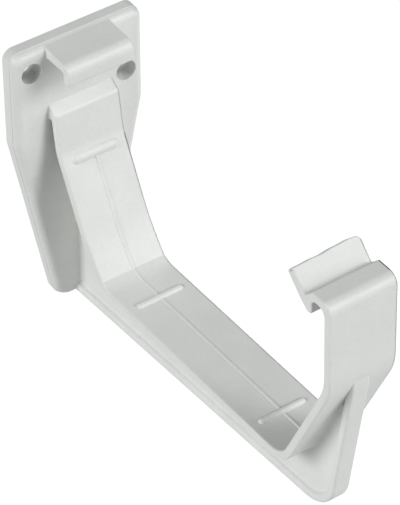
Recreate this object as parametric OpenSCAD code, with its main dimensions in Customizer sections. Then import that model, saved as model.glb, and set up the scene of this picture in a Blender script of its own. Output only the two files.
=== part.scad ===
// Fascia bracket for a square gutter, moulded in one piece.
// Millimetres. +Z up, X across the bracket, the bracket stands out towards -Y.
// The origin is on the fascia face of the back plate, on the centre line, level with
// the gutter floor. Heights are measured from the foot of the plate.
// Side outlines are drawn as [distance out from the fascia, height].

/* [Back plate] */
// height of the back plate
plate_h = 87; // [84:0.5:90]
// width of the back plate above its shoulders
plate_w = 39.8; // [38:0.2:44]
// thickness of the back plate
plate_t = 5.4; // [4.8:0.1:6.6]
// radius of the front edge of the plate, all round
edge_r = 2.2; // [0.6:0.1:2.6]
// height at which the sides start to draw in
shoulder_z = 58; // [54:0.2:61]
// width at the foot of the plate
foot_w = 17; // [15:0.5:22]
// radius of the left top corner
top_left_r = 3; // [1.5:0.5:5]
// radius of the right top corner
top_right_r = 3; // [1.5:0.5:5]
// radius of the two foot corners
foot_r = 5.5; // [3:0.5:6.5]

/* [Screw holes] */
// diameter of the screw holes
hole_d = 6; // [4.5:0.1:6.4]
// left hole, distance from the centre line
hole_left_x = 14.5; // [12:0.1:15.5]
// left hole, distance below the plate top
hole_left_drop = 6.5; // [6:0.1:12]
// right hole, distance from the centre line
hole_right_x = 14.2; // [12:0.1:16]
// right hole, distance below the plate top
hole_right_drop = 18.1; // [14:0.1:24]

/* [Gutter strap] */
// width of the strap and of the back clip
strap_w = 20; // [16:0.5:24]
// thickness of the strap
strap_t = 2.4; // [1.8:0.1:3]
// ledge where the strap leaves the plate, distance below the plate top
ledge_drop = 20.6; // [18:0.2:23]
// how far the ledge stands out from the fascia
ledge_out = 8.4; // [7.5:0.1:10]
// height of the knee below the ledge, where the back slope starts
knee_z = 55; // [52:0.2:58]
// how far the knee stands out beyond the ledge
knee_out = 1.8; // [0.6:0.1:2.4]
// height of the gutter floor
floor_z = 22.8; // [20:0.2:27]
// clear width for the gutter, from the ledge to the front wall
trough_w = 112.9; // [108:0.1:120]
// run of the back slope, from the knee to the rear corner of the floor
back_run = 16.2; // [14:0.2:20]
// run of the front slope, from the front corner of the floor to the front wall
front_run = 15.8; // [13:0.2:20]
// height at which the front wall turns upright
wall_z = 57.2; // [52:0.2:60]
// lean of the front wall back over the gutter, at its top
wall_lean = 0.8; // [0:0.1:1.5]
// underside of the front shelf, distance below the plate top
shelf_drop = 5.6; // [5:0.1:7]

/* [Back clip] */
// underside of the back clip, distance below the plate top
clip_drop = 3.4; // [3:0.1:4.5]
// fall of the back clip towards its lip
clip_fall = 0.6; // [0:0.1:1]
// thickness of the back clip
clip_t = 2.5; // [1.8:0.1:2.8]
// gap between the plate and the clip lip
clip_gap = 7.3; // [5:0.1:8]
// depth of the clip lip below the clip
lip_depth = 3.8; // [3:0.1:6]

/* [Release tab and front hook] */
// length of the release tab at its left edge
tab_left = 6.8; // [5:0.1:8]
// length of the release tab at its right edge
tab_right = 7.4; // [5:0.1:8]
// radius of the right corner of the tab
tab_r = 1.8; // [0.6:0.1:3]
// thickness of the release tab
tab_t = 2.8; // [2.4:0.1:3.4]
// depth of the groove between tab and shelf
groove_depth = 2.6; // [1.5:0.1:3]
// how far the hook hangs below the shelf
hook_depth = 4.5; // [3:0.1:5.5]
// gap between the hook and the front wall
hook_gap = 4.7; // [3.5:0.1:6]
// radius of the hook tip
hook_r = 1.6; // [1:0.1:1.8]
// fillet between the hook and the shelf
hook_fillet = 1.2; // [0.4:0.1:1.6]
// how far the round of the hook tip is swept, degrees
hook_sweep = 117; // [100:1:130]

/* [Web and flange] */
// thickness of the centre web
web_t = 2.4; // [2:0.1:4]
// width of the outer flange
flange_w = 5.3; // [4.4:0.1:8]
// thickness of the outer flange
flange_t = 2.4; // [2:0.1:3.2]
// height of the flange at its front corner
toe_z = 6.2; // [3:0.2:9]
// how far the front corner of the flange stays back from the outside of the wall
toe_in = 7.5; // [5:0.1:10]

/* [Cross ribs and centre line] */
// length of the three cross ribs
rib_len = 14; // [8:0.5:18]
// width of the cross ribs
rib_w = 2; // [1.2:0.1:3]
// height of the cross ribs
rib_h = 0.8; // [0.4:0.1:1]
// height of the rib on the back slope
rib_slope_z = 52.7; // [48:0.1:54]
// rear floor rib, distance from the rear corner of the floor
rib_back_in = 13.7; // [8:0.1:24]
// front floor rib, distance from the front corner of the floor
rib_front_in = 12.5; // [8:0.1:24]
// width of the raised centre line
line_w = 0.8; // [0.4:0.1:1.5]
// height of the raised centre line
line_h = 0.25; // [0.1:0.05:0.5]

/* [Hidden] */
// true arcs for the round holes
$fn = 64;
// largest step along a bend, degrees
bend_step = 6;
// overshoot of a cutting tool past the face it cuts
past = 1;

plate_mid = plate_t / 2;
ledge_z = plate_h - ledge_drop;
shelf_z = plate_h - shelf_drop;
floor_back = ledge_out + knee_out + back_run;
wall_in = ledge_out + trough_w;
wall_out = wall_in + strap_t;
floor_front = wall_in - front_run;
toe_out = wall_out - toe_in;
hook_out = wall_in - wall_lean - hook_gap;

// strap, gutter side, from the shelf end round to the plate
strap_line = [
    [hook_out, shelf_z],
    [wall_in - wall_lean, shelf_z],
    [wall_in, wall_z],
    [floor_front, floor_z],
    [floor_back, floor_z],
    [ledge_out + knee_out, knee_z],
    [ledge_out, ledge_z],
    [plate_mid, ledge_z]
];
strap_bends = [0, 0.6, 15, 7, 12, 8, 1, 0];

// flange, outer side, from the plate round to where it runs into the front wall
merge_z = wall_z - 3.2;
flange_line = [
    [plate_mid, 0.2],
    [toe_out, toe_z],
    [wall_out - 0.4, merge_z],
    [wall_out - 0.6, wall_z + 4.8]
];
flange_bends = [0, 12, 12, 0];

// back clip, gutter side, from the plate to the lip end
clip_in = plate_t + clip_gap;
clip_line = [
    [plate_mid, plate_h - clip_drop],
    [clip_in, plate_h - clip_drop - clip_fall],
    [clip_in, plate_h - clip_drop - clip_fall - lip_depth + clip_t / 2]
];
clip_bends = [0, 0.5, 0];

function polar(r, a) = r * [cos(a), sin(a)];

function arc(c, r, a0, a1) =
    let (n = max(1, ceil(abs(a1 - a0) / bend_step)))
    [for (k = [0 : n]) c + polar(r, a0 + (a1 - a0) * k / n)];

function flip(v) = [for (i = [len(v) - 1 : -1 : 0]) v[i]];

// direction of the leg that starts at point i
function heading(p, i) = atan2(p[i + 1][1] - p[i][1], p[i + 1][0] - p[i][0]);

// turn at point i, left turns positive
function turn(p, i) =
    let (d = heading(p, i) - heading(p, i - 1))
    d > 180 ? d - 360 : d < -180 ? d + 360 : d;

// bend at point i of a line, drawn at a distance off to its left
function bend(p, r, off, i) =
    let (s = sign(turn(p, i)))
    let (h = heading(p, i - 1))
    let (c = p[i] - polar(r[i] * tan(abs(turn(p, i)) / 2), h) + polar(r[i], h + 90 * s))
    r[i] > s * off
        ? arc(c, r[i] - s * off, h - 90 * s, h - 90 * s + turn(p, i))
        : [c + polar((s * off - r[i]) / cos(turn(p, i) / 2), h + 90 * s + turn(p, i) / 2)];

// the whole line of a band, drawn at a distance off to its left
function track(p, r, off) = [
    p[0] + polar(off, heading(p, 0) + 90),
    for (i = [1 : len(p) - 2]) each bend(p, r, off, i),
    p[len(p) - 1] + polar(off, heading(p, len(p) - 2) + 90)
];

// outline between a line and the same line a thickness t to its left
function band(p, r, t) = concat(track(p, r, 0), flip(track(p, r, t)));

// point of the leg between a and b at height z
function at_z(a, b, z) = a + (b - a) * (z - a[1]) / (b[1] - a[1]);

// places a side outline on the centre plane and gives it a width
module across(w) {
    rotate([90, 0, -90])
        linear_extrude(w, center = true)
            children();
}

// slope of the sides below the shoulders
side_a = atan2(shoulder_z, (plate_w - foot_w) / 2);

module plate_outline() {
    foot_x = foot_w / 2 - foot_r * tan(side_a / 2);
    half = plate_w / 2;
    polygon(concat(
        arc([foot_x, foot_r], foot_r, -90, side_a - 90),
        [[half, shoulder_z]],
        arc([half - top_right_r, plate_h - top_right_r], top_right_r, 0, 90),
        arc([top_left_r - half, plate_h - top_left_r], top_left_r, 90, 180),
        [[-half, shoulder_z]],
        arc([-foot_x, foot_r], foot_r, 270 - side_a, 270)
    ));
}

// quarter round of the front edge, from the flank to the front
function front_round(flank, s) = [
    for (p = arc([0, plate_t - edge_r], edge_r, 0, 90)) [flank + s * (p[0] - edge_r), -p[1]]
];

// bar as deep as the plate with both front edges rounded, seen from above
module plan(from, to) {
    polygon(concat(
        [[from, 0], [to, 0]],
        front_round(to, 1),
        flip(front_round(from, -1))
    ));
}

// rounds the front edges above the shoulders
module upright_bar() {
    translate([0, 0, -past])
        linear_extrude(plate_h + 2 * past)
            plan(-plate_w / 2, plate_w / 2);
}

// rounds the front edge of the side below the right shoulder
module sloping_bar() {
    translate([plate_w / 2, 0, shoulder_z])
        rotate([0, 90 - side_a, 0])
            linear_extrude(2 * plate_h, center = true)
                plan(-2 * plate_w, 0);
}

// rounds the front edges along the top and the foot
module level_bar() {
    rotate([0, 90, 0])
        linear_extrude(plate_w + 2 * past, center = true)
            plan(-plate_h, 0);
}

module screw_hole(x, drop) {
    translate([x, past, plate_h - drop])
        rotate([90, 0, 0])
            cylinder(d = hole_d, h = plate_t + 2 * past);
}

module plate() {
    difference() {
        intersection() {
            rotate([90, 0, 0])
                linear_extrude(plate_t)
                    plate_outline();
            upright_bar();
            sloping_bar();
            mirror([1, 0, 0])
                sloping_bar();
            level_bar();
        }
        screw_hole(-hole_left_x, hole_left_drop);
        screw_hole(hole_right_x, hole_right_drop);
    }
}

module strap() {
    across(strap_w)
        polygon(band(strap_line, strap_bends, strap_t));
}

module back_clip() {
    end = clip_line[2] + [clip_t / 2, 0];
    across(strap_w)
        polygon(concat(
            track(clip_line, clip_bends, 0),
            arc(end, clip_t / 2, 180, 360),
            flip(track(clip_line, clip_bends, clip_t))
        ));
}

// foot of the groove between tab and shelf
groove = [hook_out, shelf_z + strap_t] - groove_depth * [1, 1];

// hook that holds down the front edge of the gutter
module front_hook() {
    shelf_end = [hook_out, shelf_z + strap_t];
    tip = [hook_out - hook_r, shelf_z - hook_depth + hook_r];
    inner = [hook_out + hook_fillet, shelf_z - hook_fillet];
    across(strap_w)
        polygon(concat(
            [groove, shelf_end, [inner[0], shelf_z + strap_t / 2]],
            arc(inner, hook_fillet, 90, 180),
            arc(tip, hook_r, 360, 360 - hook_sweep),
            [groove + polar(tab_t, 225)]
        ));
}

// sloping tab that is pressed back to free the gutter, one corner rounded
module release_tab() {
    half = strap_w / 2;
    translate([0, -groove[0], groove[1]])
        rotate([45, 0, 0])
            translate([0, 0, -tab_t])
                linear_extrude(tab_t)
                    polygon(concat(
                        [[-half, 0], [half, 0]],
                        arc([half - tab_r, tab_right - tab_r], tab_r, 0, 90),
                        [[-half, tab_left]]
                    ));
}

module flange() {
    across(flange_w)
        polygon(band(flange_line, flange_bends, flange_t));
}

// thin wall between plate, strap and flange, its edges buried in all three
module web() {
    strap_part = [
        at_z(strap_line[2], strap_line[3], merge_z),
        for (i = [3 : 7]) strap_line[i]
    ];
    strap_part_bends = [for (i = [2 : 7]) strap_bends[i]];
    flange_part = [for (i = [0 : 2]) flange_line[i]];
    across(web_t)
        polygon(concat(
            track(strap_part, strap_part_bends, strap_t / 2),
            track(flange_part, flange_bends, flange_t / 2)
        ));
}

// half-round rib across the strap, with round ends
module rib(out, z, tilt) {
    sink = (rib_w * rib_w / 4 - rib_h * rib_h) / (2 * rib_h);
    r = rib_h + sink;
    straight = rib_len / 2 - rib_w / 2;
    half = concat(
        [[0, -straight - r]],
        arc([0, -straight], r, -90, 0),
        arc([0, straight], r, 0, 90)
    );
    translate([0, -out, z])
        rotate([tilt, 0, 0])
            translate([0, 0, -sink])
                rotate([0, 90, 0])
                    rotate_extrude()
                        polygon(half);
}

module ribs() {
    slope = at_z(strap_line[5], strap_line[4], rib_slope_z);
    rib(slope[0], slope[1], 180 - heading(strap_line, 4));
    rib(floor_back + rib_back_in, floor_z, 0);
    rib(floor_front - rib_front_in, floor_z, 0);
}

// fine raised line down the middle of the strap, from the slope rib to the front wall
module centre_line() {
    upper = at_z(strap_line[5], strap_line[4], rib_slope_z);
    front = at_z(strap_line[2], strap_line[3], floor_z + 14);
    line = [front, strap_line[3], strap_line[4], upper];
    radii = [0, strap_bends[3], strap_bends[4], 0];
    across(line_w)
        polygon(concat(
            track(line, radii, -line_h),
            flip(track(line, radii, strap_t / 2))
        ));
}

module bracket() {
    color([0.86, 0.88, 0.86])
        translate([0, 0, -floor_z]) {
            plate();
            strap();
            back_clip();
            front_hook();
            release_tab();
            web();
            flange();
            ribs();
            centre_line();
        }
}

bracket();
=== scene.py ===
import math
import bmesh
import bpy
from mathutils import Matrix, Vector
from mathutils.geometry import tessellate_polygon

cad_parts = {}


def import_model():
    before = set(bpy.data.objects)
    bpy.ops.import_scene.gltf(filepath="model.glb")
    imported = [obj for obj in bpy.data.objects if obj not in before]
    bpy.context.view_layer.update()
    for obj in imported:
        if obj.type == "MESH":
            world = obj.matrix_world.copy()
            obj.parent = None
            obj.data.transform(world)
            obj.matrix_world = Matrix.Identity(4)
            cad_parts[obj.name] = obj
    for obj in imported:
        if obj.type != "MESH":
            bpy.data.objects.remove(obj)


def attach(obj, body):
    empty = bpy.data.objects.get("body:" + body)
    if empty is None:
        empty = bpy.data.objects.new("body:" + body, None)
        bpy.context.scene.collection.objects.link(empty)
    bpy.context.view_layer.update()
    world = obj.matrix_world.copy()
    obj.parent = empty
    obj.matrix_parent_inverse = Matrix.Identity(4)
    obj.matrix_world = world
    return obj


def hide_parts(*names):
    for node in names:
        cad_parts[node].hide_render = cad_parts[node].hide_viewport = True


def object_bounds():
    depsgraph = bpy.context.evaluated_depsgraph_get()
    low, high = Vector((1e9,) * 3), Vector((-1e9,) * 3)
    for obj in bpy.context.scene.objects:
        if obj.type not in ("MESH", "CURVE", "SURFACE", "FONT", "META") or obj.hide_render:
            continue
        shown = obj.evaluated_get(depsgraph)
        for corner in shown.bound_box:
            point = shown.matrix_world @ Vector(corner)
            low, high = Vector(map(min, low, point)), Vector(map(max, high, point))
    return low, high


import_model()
cad_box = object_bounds()

# A one-piece gutter bracket, dressed as a satin off-white moulding with soft edges.
# Sizes are in millimetres: x across the bracket, out = distance from the fascia,
# up = height above the gutter floor.
MM = 0.001
LOW = Vector(cad_box[0]) / MM
HIGH = Vector(cad_box[1]) / MM
FOOT = LOW.z
TOP = HIGH.z
PLATE_HALF = HIGH.x

# ---------------------------------------------------------------- sizes
PLATE_T = 5.4
TAPER = 1.3  # how much thinner the plate is at its foot
SHOULDER = FOOT + 58
SHOULDER_R = 2
FOOT_HALF = 8.5
FOOT_R = 5.5
TOP_R = 3.0
PLATE_EDGE = 2.2
BACK_EDGE = 0.15
PARTING = 0.14  # how far the plate's sides stand out behind the parting line
PARTING_W = 0.12
HOLES = [(-14.5, TOP - 6.5), (14.2, TOP - 18.1)]
HOLE_R = 3.0
HOLE_RIM = 0.15
HOLE_SIDES = 48

STRAP_HALF = 10.0
STRAP_T = 2.4
STRAP_EDGE = 0.5
ROOT = 1.2  # how deep the strap is sunk into the plate
ROOT_DROP = 0.6
ROOT_R = 0.4
LEDGE = TOP - 20.6
LEDGE_OUT = 8.4
LEDGE_RISE = 0.75  # rise of the ledge's upper face for each unit towards the plate
LEDGE_R = 1.6
TAPER_TOP = LEDGE - 4
TROUGH = 112.9
KNEE = (LEDGE_OUT + 1.8, FOOT + 55)
WALL_IN = LEDGE_OUT + TROUGH
FLOOR_BACK = KNEE[0] + 16.2
FLOOR_FRONT = WALL_IN - 15.8
WALL_TURN = FOOT + 57.2
WALL_LEAN = 0.8
WALL_TOP_R = 2.4
SHELF = TOP - 5.6
SHELF_END_R = 0.5

HOOK_OUT = WALL_IN - WALL_LEAN - 4.7
HOOK_R = 1.6
HOOK_DEPTH = 4.5
HOOK_FILLET = 1.9
HOOK_TIP_FALL = 0.1
GROOVE = (HOOK_OUT - 2.6, SHELF + STRAP_T - 2.6)
GROOVE_R = 0.4
HEEL_R = 1.6
TAB_T = 2.8
TAB_LEFT = 6.8
TAB_RIGHT = 7.4
TAB_R = 1.8
TAB_TOP_R = 0.3
TAB_LOW_R = 0.6
TAB_WAVES = [(0.07, 11, 0), (0.05, 23, 1)]  # size, rate and phase of its uneven edge

CLIP_T = 2.5
CLIP_UNDER = TOP - 3.4
CLIP_TOP = TOP - 1.0
CLIP_IN = PLATE_T + 7.65
CLIP_LIP = 3.6
CLIP_R = 3.0
CLIP_IN_R = 0.8
CLIP_FILLET = 0.6
CLIP_EDGE = 0.35
CLIP_BACK = PLATE_T - PLATE_EDGE + 0.1  # its root starts here, inside the plate
CLIP_BACK_TOP = TOP - PARTING - 0.15
CLIP_BACK_LOW = CLIP_UNDER - 0.9

WEB_HALF = 1.2
WEB_FILLET = 0.5
WEB_CORNER_R = WEB_FILLET * 1.1
WEB_SINK = 0.3
WEB_FOOT_R = 1.0
FLANGE_HALF = 2.65
FLANGE_T = 2.4
FLANGE_EDGE = 0.7
FLANGE_R = 12
FLANGE_TOP = WALL_TURN + 4.8
TOE = (WALL_IN + STRAP_T - 7.5, FOOT + 6.2)
MERGE = WALL_TURN - 3.2

RIB_HALF = 7.3
RIB_W = 2.1
RIB_SLOPE_W = 2.9
RIB_H = 0.8
RIB_SIDES = 32
RIB_END = (88, 70, 52, 35, 17, 0)  # degrees of the rings around a rib's round end
RIBS_OUT = [FLOOR_BACK + 13.7, FLOOR_FRONT - 12.5]
RIB_SLOPE_UP = FOOT + 52.7
LINE_HALF = 0.4
LINE_H = 0.2
LINE_SINK = 0.5
LINE_EDGE = 0.15
LINE_END = 14  # height on the front wall where the centre line ends

HIDE = 0.02  # a shell's end lies this far inside another shell's face
UNDER = 0.98  # share of a radius that keeps two arcs of one outline apart
ARC_STEP = math.radians(6)
STEP_SLACK = 0.01
STRAIGHT = 1e-4
MITRE_LIMIT = 0.6
LEAST_R = 0.05
EDGE_STEPS = 5
SHARP = math.radians(40)


# ---------------------------------------------------------------- outlines
def cross(a, b):
    return a[0] * b[1] - a[1] * b[0]


def unit(a, b):
    d = Vector((b[0] - a[0], b[1] - a[1]))
    return d.normalized()


def rounded(corners):
    """Closed outline from (out, up, radius) corners, each corner turned into an arc."""
    points = []
    count = len(corners)
    for i, (u, v, r) in enumerate(corners):
        here = Vector((u, v))
        d0 = unit(corners[i - 1], corners[i])
        d1 = unit(corners[i], corners[(i + 1) % count])
        turn = math.atan2(cross(d0, d1), d0.dot(d1))
        if r <= 0 or abs(turn) < STRAIGHT:
            points.append(here)
            continue
        side = 1 if turn > 0 else -1
        start = here - d0 * (r * math.tan(abs(turn) / 2))
        centre = start + side * r * Vector((-d0.y, d0.x))
        steps = max(1, math.ceil(abs(turn) / ARC_STEP - STEP_SLACK))
        a0 = math.atan2(-side * d0.x, side * d0.y)
        for k in range(steps + 1):
            a = a0 + turn * k / steps
            points.append(centre + r * Vector((math.cos(a), math.sin(a))))
    return points


def beside(line, off):
    """Corners of an open (out, up, radius) line, moved a distance to its left."""
    moved = []
    for i, (u, v, r) in enumerate(line):
        d0 = unit(line[max(i - 1, 0)], line[max(i, 1)])
        d1 = unit(line[min(i, len(line) - 2)], line[min(i + 1, len(line) - 1)])
        n0 = Vector((-d0.y, d0.x))
        n1 = Vector((-d1.y, d1.x))
        shift = (n0 + n1) * (off / (1 + n0.dot(n1)))
        left_turn = cross(d0, d1) > 0
        radius = 0 if r == 0 else max(LEAST_R, r - off if left_turn else r + off)
        moved.append((u + shift.x, v + shift.y, radius))
    return moved


def inset(points, depth):
    """The same outline, counter-clockwise, drawn in by a depth (mitred)."""
    if depth == 0:
        return points
    moved = []
    for i, here in enumerate(points):
        d0 = unit(points[i - 1], here)
        d1 = unit(here, points[(i + 1) % len(points)])
        n0 = Vector((-d0.y, d0.x))
        n1 = Vector((-d1.y, d1.x))
        moved.append(here + (n0 + n1) * (depth / max(MITRE_LIMIT, 1 + n0.dot(n1))))
    return moved


# ---------------------------------------------------------------- shells
def side_place(x, p):
    return Vector((x, -p[0], p[1])) * MM


def front_place(out, p):
    return Vector((p[0], -out, p[1])) * MM


def rings_to_faces(bm, rings):
    """Quads between neighbouring closed rings; returns the first and last ring's vertices."""
    made = [[bm.verts.new(p) for p in ring] for ring in rings]
    for a, b in zip(made, made[1:]):
        for i in range(len(a)):
            j = (i + 1) % len(a)
            bm.faces.new((a[i], a[j], b[j], b[i]))
    return made[0], made[-1]


def cap(bm, loops):
    """Flat face over one loop of vertices, with any further loops as holes in it."""
    verts = [v for loop in loops for v in loop]
    for tri in tessellate_polygon([[v.co for v in loop] for loop in loops]):
        bm.faces.new([verts[i] for i in tri])


def solid(bm, rings):
    """Closed shell through the rings, with a flat face over each end."""
    first, last = rings_to_faces(bm, rings)
    cap(bm, [first])
    cap(bm, [last])


def full_turn(count):
    """Angles of evenly spaced points around a circle."""
    return [math.tau * k / count for k in range(count)]


def quarter(radius):
    """(distance in from the face, inset of the outline) along a rounded edge, face first."""
    steps = [math.radians(90) * k / EDGE_STEPS for k in range(EDGE_STEPS + 1)]
    return [(radius * (1 - math.cos(a)), radius * (1 - math.sin(a))) for a in steps]


def slab(bm, outline_at, half, edge, inner=()):
    """Solid across the bracket from -half to half, with both side edges rounded."""
    side = quarter(edge)
    stops = [(-half + d, s) for d, s in side]
    stops += [(x, 0) for x in inner]
    stops += [(half - d, s) for d, s in reversed(side)]
    solid(bm, [[side_place(x, p) for p in inset(outline_at(x), s)] for x, s in stops])


# ---------------------------------------------------------------- sub-forms
def on_leg(a, b, up):
    """Point of the line a-b at a given height."""
    share = (up - a[1]) / (b[1] - a[1])
    return (a[0] + (b[0] - a[0]) * share, up)


# inner face of the strap as (out, up, radius) corners, from the hook back to the plate
STRAP_LINE = [
    (HOOK_OUT + HOOK_FILLET, SHELF, 0),
    (WALL_IN - WALL_LEAN, SHELF, 0.6),
    (WALL_IN, WALL_TURN, 15),
    (FLOOR_FRONT, 0, 7),
    (FLOOR_BACK, 0, 12),
    (*KNEE, 8),
    (LEDGE_OUT, LEDGE, 1.0),
    (PLATE_T, LEDGE, 0),
]
# the inner face turns from floor to back slope in two steps, with a crease between them
TURN_START = FLOOR_BACK + 4.6
TURN_CREASE = (FLOOR_BACK + 1.7, 1.2)
TURN_END = on_leg((FLOOR_BACK, 0), KNEE, 9.6)
BACK_TURN = [(TURN_START, 0, 8), (*TURN_CREASE, 0.4), (*TURN_END, 45)]
STRAP_INNER = [
    STRAP_LINE[0],
    (*STRAP_LINE[1][:2], WALL_TOP_R),
    *STRAP_LINE[2:4],
    *BACK_TURN,
    STRAP_LINE[5],
    (LEDGE_OUT, LEDGE, LEDGE_R),
    (PLATE_T - ROOT, LEDGE + LEDGE_RISE * (LEDGE_OUT - PLATE_T + ROOT), 0),
]
STRAP_OUTER = beside(STRAP_LINE, STRAP_T)
# outer face of the flange, from the plate's foot to the front wall
FLANGE_LINE = [
    (PLATE_T / 2, FOOT + 0.2, 0),
    (*TOE, FLANGE_R),
    (WALL_IN + STRAP_T - 0.4, MERGE, FLANGE_R),
    (WALL_IN + STRAP_T - 0.6, FLANGE_TOP, 0),
]
FLANGE_INNER = beside(FLANGE_LINE, FLANGE_T)


def plate_front(up):
    """How far out the front of the plate is: its lower part thins towards the foot."""
    below = min(max((TAPER_TOP - up) / (TAPER_TOP - FOOT), 0), 1)
    return PLATE_T - TAPER * below


def plate(bm):
    """Back plate with a rounded front edge, a parting line round its side and two holes."""
    outline = rounded([
        (-FOOT_HALF, FOOT, FOOT_R),
        (FOOT_HALF, FOOT, FOOT_R),
        (PLATE_HALF, SHOULDER, SHOULDER_R),
        (PLATE_HALF, TOP, TOP_R),
        (-PLATE_HALF, TOP, TOP_R),
        (-PLATE_HALF, SHOULDER, SHOULDER_R),
    ])
    front = [(PLATE_T - d, s + PARTING * (1 - s / PLATE_EDGE)) for d, s in quarter(PLATE_EDGE)]
    line = PLATE_T - PLATE_EDGE
    parting = [(line - PARTING_W / 3, PARTING / 4), (line - PARTING_W, 0)]
    back = list(reversed(quarter(BACK_EDGE)))
    rings = [
        [front_place(out, p) for p in inset(outline, s)] for out, s in front + parting + back
    ]
    first, last = rings_to_faces(bm, rings)
    front_loops = [first]
    back_loops = [last]
    wall = [(PLATE_T - d, HOLE_R + s) for d, s in quarter(HOLE_RIM)] + [(0, HOLE_R)]
    turns = full_turn(HOLE_SIDES)
    for x, up in HOLES:
        rings = [
            [front_place(out, (x + r * math.cos(a), up + r * math.sin(a))) for a in turns]
            for out, r in wall
        ]
        first, last = rings_to_faces(bm, rings)
        front_loops.append(first)
        back_loops.append(last)
    cap(bm, front_loops)
    cap(bm, back_loops)
    fold = Vector((0, 0, TAPER_TOP)) * MM
    geometry = bm.verts[:] + bm.edges[:] + bm.faces[:]
    bmesh.ops.bisect_plane(bm, geom=geometry, plane_co=fold, plane_no=(0, 0, 1))
    for v in bm.verts:
        v.co.y *= plate_front(v.co.z / MM) / PLATE_T


def tab_length(x):
    """Length of the release tab: it grows slightly to the right and its edge is uneven."""
    share = (x + STRAP_HALF) / (2 * STRAP_HALF)
    length = TAB_LEFT + (TAB_RIGHT - TAB_LEFT) * share
    length += sum(size * math.sin(rate * share + phase) for size, rate, phase in TAB_WAVES)
    from_corner = x - (STRAP_HALF - TAB_R)
    if from_corner > 0:
        length -= TAB_R - math.sqrt(max(0, TAB_R**2 - from_corner**2))
    return length


def strap_outline(x):
    """Side outline of strap, hook and release tab at one place across the bracket."""
    up_left = Vector((-1, 1)).normalized()
    down_left = Vector((-1, -1)).normalized()
    groove = Vector(GROOVE)
    tab_up = groove + up_left * tab_length(x)
    tab_low = tab_up + down_left * TAB_T
    heel = groove + down_left * TAB_T
    lower = LEDGE - STRAP_T - ROOT_DROP
    return rounded([
        *STRAP_INNER,
        (PLATE_T - ROOT, lower, 0),
        (PLATE_T - HIDE, lower, 0),
        (PLATE_T, LEDGE - STRAP_T, ROOT_R),
        *reversed(STRAP_OUTER[1:-1]),
        (HOOK_OUT, SHELF + STRAP_T, SHELF_END_R),
        (*groove, GROOVE_R),
        (*tab_up, TAB_TOP_R),
        (*tab_low, TAB_LOW_R),
        (*heel, HEEL_R),
        (HOOK_OUT - HOOK_R, SHELF - HOOK_DEPTH - HOOK_TIP_FALL, HOOK_R / 2),
        (HOOK_OUT, SHELF - HOOK_DEPTH, HOOK_R / 2),
        (HOOK_OUT, SHELF, HOOK_FILLET * UNDER),
    ])


def strap(bm):
    """Strap, hook and tab, with sections every millimetre and more at the tab's round corner."""
    even = [-9 + k for k in range(17)]
    corner = [STRAP_HALF - TAB_R + TAB_R * math.sin(math.radians(a)) for a in range(15, 64, 8)]
    slab(bm, strap_outline, STRAP_HALF, STRAP_EDGE, even + corner)


def back_clip(bm):
    """Clip at the top of the plate: an arm outwards and a lip that turns down."""
    end = CLIP_UNDER - CLIP_LIP
    tip_r = CLIP_T / 2 * UNDER
    outline = rounded([
        (CLIP_BACK, CLIP_BACK_TOP, 0),
        (CLIP_BACK, CLIP_BACK_LOW, 0),
        (PLATE_T - HIDE, CLIP_BACK_LOW, 0),
        (PLATE_T, CLIP_UNDER, CLIP_FILLET),
        (CLIP_IN, CLIP_UNDER, CLIP_IN_R),
        (CLIP_IN, end, tip_r),
        (CLIP_IN + CLIP_T, end, tip_r),
        (CLIP_IN + CLIP_T, CLIP_TOP, CLIP_R),
    ])
    slab(bm, lambda x: outline, STRAP_HALF, CLIP_EDGE)


def flange(bm):
    """Outer flange of the T-shaped rib; its upper end stays inside the front wall."""
    end = (WALL_IN + STRAP_T * 0.4, FLANGE_TOP, 0)
    outline = rounded([*FLANGE_LINE, end, *reversed(FLANGE_INNER[:-1])])
    slab(bm, lambda x: outline, FLANGE_HALF, FLANGE_EDGE)


def meeting(a, b, c, d):
    """Point where the lines a-b and c-d cross."""
    u = Vector((b[0] - a[0], b[1] - a[1]))
    v = Vector((d[0] - c[0], d[1] - c[1]))
    w = (c[0] - a[0], c[1] - a[1])
    return Vector((a[0], a[1])) + u * (cross(w, v) / cross(u, v))


def web(bm):
    """Centre web with a small fillet all round, sunk into plate, strap and flange."""
    face = [(plate_front(up), up) for up in (FOOT, TAPER_TOP)]
    root = meeting(*face, FLANGE_INNER[0], FLANGE_INNER[1])
    crotch = meeting(STRAP_OUTER[3], STRAP_OUTER[2], FLANGE_INNER[1], FLANGE_INNER[2])
    outline = rounded([
        (*root, WEB_FOOT_R),
        FLANGE_INNER[1],
        (*crotch, WEB_CORNER_R),
        *STRAP_OUTER[3:6],
        (*STRAP_OUTER[6][:2], WEB_CORNER_R),
        (PLATE_T, STRAP_OUTER[6][1], WEB_CORNER_R),
        (*face[1], 0),
    ])
    profile = [(WEB_HALF + d, s) for d, s in quarter(WEB_FILLET)]
    profile.append((WEB_HALF + WEB_FILLET, -WEB_SINK))
    stops = [(-x, s) for x, s in profile] + [(x, s) for x, s in reversed(profile)]
    solid(bm, [[side_place(x, p) for p in inset(outline, s)] for x, s in stops])


def rib(bm, out, up, tilt, width):
    """Low round-ended bar across the strap; tilt is its lean from upright."""
    r = (width**2 / 4 + RIB_H**2) / (2 * RIB_H)
    sink = r - RIB_H
    straight = RIB_HALF - width / 2
    ends = [math.radians(a) for a in RIB_END]
    stops = [(-straight - r * math.sin(a), r * math.cos(a)) for a in ends]
    stops += [(straight + r * math.sin(a), r * math.cos(a)) for a in reversed(ends)]
    turns = full_turn(RIB_SIDES)
    seat = Vector((out, up)) - sink * Vector((math.sin(tilt), math.cos(tilt)))
    solid(bm, [
        [side_place(x, seat + q * Vector((math.cos(a), math.sin(a)))) for a in turns]
        for x, q in stops
    ])


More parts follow.
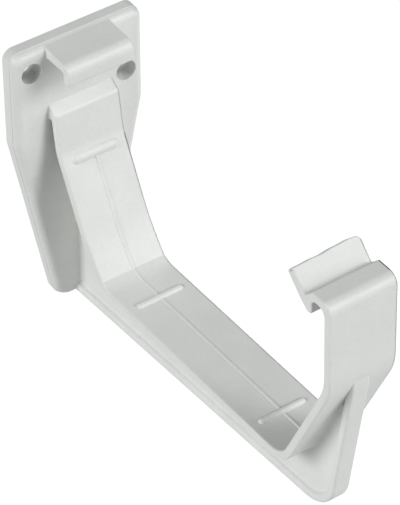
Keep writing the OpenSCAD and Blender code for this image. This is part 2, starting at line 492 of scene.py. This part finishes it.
def ribs(bm):
    """One cross rib on the back slope and the others on the floor."""
    back, knee = STRAP_LINE[4:6]
    slope = math.atan2(knee[1] - back[1], back[0] - knee[0])
    rib(bm, *on_leg(back, knee, RIB_SLOPE_UP), slope, RIB_SLOPE_W)
    for out in RIBS_OUT:
        rib(bm, out, 0, 0, RIB_W)


def centre_line(bm):
    """Fine raised line down the middle of the strap."""
    front = on_leg(*STRAP_LINE[2:4], LINE_END)
    upper = on_leg(*STRAP_LINE[4:6], RIB_SLOPE_UP)
    line = [(*front, 0), STRAP_LINE[3], *BACK_TURN, (*upper, 0)]
    outline = rounded(beside(line, -LINE_H) + list(reversed(beside(line, LINE_SINK))))
    slab(bm, lambda x: outline, LINE_HALF, LINE_EDGE)


# ---------------------------------------------------------------- materials
def socket(node, name, value):
    node.inputs[name].default_value = value


def blank_nodes(owner):
    """Empties the nodes of a material or world; returns what makes a node and what links two."""
    owner.use_nodes = True
    tree = owner.node_tree
    tree.nodes.clear()
    return tree.nodes.new, tree.links.new


CLOUD_DARK = (0.79, 0.787, 0.768)
CLOUD_PALE = (0.826, 0.822, 0.804)
SPECK_DARK = (0.93, 0.93, 0.93)
SPECK_PALE = (1, 1, 1)
ROUGHNESS = (0.34, 0.48)
GRAIN_DEPTH = 0.00004
FLOW_DEPTH = 0.0002


def rigid_pvc():
    """Off-white moulded PVC: faint clouding, fine grain, satin gloss that varies a little."""
    material = bpy.data.materials.new("moulded_pvc")
    new, link = blank_nodes(material)
    place = new("ShaderNodeTexCoord")

    def noise(scale, detail, rough):
        node = new("ShaderNodeTexNoise")
        socket(node, "Scale", scale)
        socket(node, "Detail", detail)
        socket(node, "Roughness", rough)
        link(place.outputs["Object"], node.inputs["Vector"])
        return node.outputs["Fac"]

    def ramp(source, stops):
        node = new("ShaderNodeValToRGB")
        for stop, (at, colour) in zip(node.color_ramp.elements, stops):
            stop.position = at
            stop.color = (*colour, 1)
        link(source, node.inputs["Fac"])
        return node.outputs["Color"]

    def blend(kind, share, a, b):
        node = new("ShaderNodeMix")
        node.data_type = "RGBA"
        node.blend_type = kind
        socket(node, "Factor", share)
        link(a, node.inputs["A"])
        link(b, node.inputs["B"])
        return node.outputs["Result"]

    def spread(source, low, high):
        node = new("ShaderNodeMapRange")
        socket(node, "To Min", low)
        socket(node, "To Max", high)
        link(source, node.inputs["Value"])
        return node.outputs["Result"]

    clouds = ramp(noise(90, 3, 0.55), [(0.35, CLOUD_DARK), (0.68, CLOUD_PALE)])
    specks = ramp(noise(1400, 2, 0.6), [(0.3, SPECK_DARK), (0.6, SPECK_PALE)])
    colour = blend("MULTIPLY", 0.5, clouds, specks)

    shader = new("ShaderNodeBsdfPrincipled")
    socket(shader, "IOR", 1.5)
    socket(shader, "Specular IOR Level", 0.4)
    link(colour, shader.inputs["Base Color"])
    link(spread(noise(260, 4, 0.6), *ROUGHNESS), shader.inputs["Roughness"])

    grain = new("ShaderNodeBump")
    socket(grain, "Strength", 0.12)
    socket(grain, "Distance", GRAIN_DEPTH)
    link(noise(1900, 3, 0.6), grain.inputs["Height"])
    flow = new("ShaderNodeBump")
    socket(flow, "Strength", 0.25)
    socket(flow, "Distance", FLOW_DEPTH)
    link(noise(160, 2, 0.5), flow.inputs["Height"])
    link(grain.outputs["Normal"], flow.inputs["Normal"])
    link(flow.outputs["Normal"], shader.inputs["Normal"])

    end = new("ShaderNodeOutputMaterial")
    link(shader.outputs["BSDF"], end.inputs["Surface"])
    return material


def pale_floor():
    """Matt pale floor that reads white to the camera and still takes the shadow."""
    material = bpy.data.materials.new("pale_floor")
    new, link = blank_nodes(material)
    matt = new("ShaderNodeBsdfDiffuse")
    socket(matt, "Color", (0.85, 0.85, 0.85, 1))
    glow = new("ShaderNodeEmission")
    socket(glow, "Color", (0.5, 0.5, 0.5, 1))
    ray = new("ShaderNodeLightPath")
    link(ray.outputs["Is Camera Ray"], glow.inputs["Strength"])
    both = new("ShaderNodeAddShader")
    link(matt.outputs["BSDF"], both.inputs[0])
    link(glow.outputs["Emission"], both.inputs[1])
    end = new("ShaderNodeOutputMaterial")
    link(both.outputs["Shader"], end.inputs["Surface"])
    return material


# ---------------------------------------------------------------- the piece
def add_object(name, data):
    made = bpy.data.objects.new(name, data)
    bpy.context.scene.collection.objects.link(made)
    return made


def bracket():
    """All sub-forms as one mesh, as the bracket is one moulding."""
    bm = bmesh.new()
    for make in (plate, strap, back_clip, web, flange, ribs, centre_line):
        make(bm)
    bmesh.ops.recalc_face_normals(bm, faces=bm.faces)
    mesh = bpy.data.meshes.new("bracket_moulding")
    bm.to_mesh(mesh)
    bm.free()
    mesh.shade_smooth()
    mesh.set_sharp_from_angle(angle=SHARP)
    mesh.materials.append(rigid_pvc())
    piece = add_object("bracket_moulding", mesh)
    even = piece.modifiers.new("even_normals", "WEIGHTED_NORMAL")
    even.keep_sharp = True
    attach(piece, "root")
    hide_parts("bracket")
    return piece


# ---------------------------------------------------------------- stage
def floor():
    """Floor well below the bracket, which hangs free as it would on its wall."""
    drop = 0.25
    width = 8
    bpy.ops.mesh.primitive_plane_add(size=width, location=(0, 0, cad_box[0][2] - drop))
    ground = bpy.context.object
    ground.name = "floor"
    ground.data.materials.append(pale_floor())


def toward(azimuth, elevation):
    """Unit vector from the object towards a camera or lamp; azimuth 0 is straight in front."""
    a = math.radians(azimuth)
    e = math.radians(elevation)
    return Vector((math.sin(a) * math.cos(e), -math.cos(a) * math.cos(e), math.sin(e)))


# name, azimuth, elevation, strength, angular size
LAMPS = [
    ("side", -92, 32, 2.03, 30),
    ("front", 32, 34, 1.3, 25),
    ("low", 25, 10, 0.5, 35),
    ("right", 60, 8, 0.6, 25),
]


def lamps():
    for name, azimuth, elevation, strength, size in LAMPS:
        data = bpy.data.lights.new(name, "SUN")
        data.energy = strength
        data.angle = math.radians(size)
        lamp = add_object(name, data)
        lamp.rotation_euler = toward(azimuth, elevation).to_track_quat("Z", "Y").to_euler()


AMBIENT = 0.06
AMBIENT_COLOUR = (0.6, 1, 0.92, 1)


def world():
    """Soft white room: the camera sees plain white, the object gets a lower, even light."""
    surroundings = bpy.data.worlds.new("room")
    bpy.context.scene.world = surroundings
    new, link = blank_nodes(surroundings)
    room = new("ShaderNodeBackground")
    socket(room, "Strength", AMBIENT)
    socket(room, "Color", AMBIENT_COLOUR)
    white = new("ShaderNodeBackground")
    socket(white, "Strength", 1.0)
    socket(white, "Color", (1, 1, 1, 1))
    ray = new("ShaderNodeLightPath")
    pick = new("ShaderNodeMixShader")
    link(ray.outputs["Is Camera Ray"], pick.inputs[0])
    link(room.outputs["Background"], pick.inputs[1])
    link(white.outputs["Background"], pick.inputs[2])
    end = new("ShaderNodeOutputWorld")
    link(pick.outputs["Shader"], end.inputs["Surface"])


def camera():
    """Long lens, looking down at the left front of the bracket."""
    azimuth = -35.68
    elevation = 40.79
    roll = math.radians(0.084)
    distance = 750
    shift_right = -1.197
    shift_up = 3.711
    aim = Vector((0, -60, TOP - 40))
    back = toward(azimuth, elevation)
    right = Vector((math.cos(math.radians(azimuth)), math.sin(math.radians(azimuth)), 0))
    up = back.cross(right)
    place = (aim + shift_right * right + shift_up * up + distance * back) * MM
    level = right * math.cos(roll) - up * math.sin(roll)
    upright = right * math.sin(roll) + up * math.cos(roll)
    data = bpy.data.cameras.new("camera")
    data.lens = 213.0
    data.clip_end = 20
    view = add_object("camera", data)
    view.matrix_world = Matrix((*zip(level, upright, back, place), (0, 0, 0, 1)))
    bpy.context.scene.camera = view


bracket()
floor()
lamps()
world()
camera()
bpy.context.scene.view_settings.view_transform = "Standard"
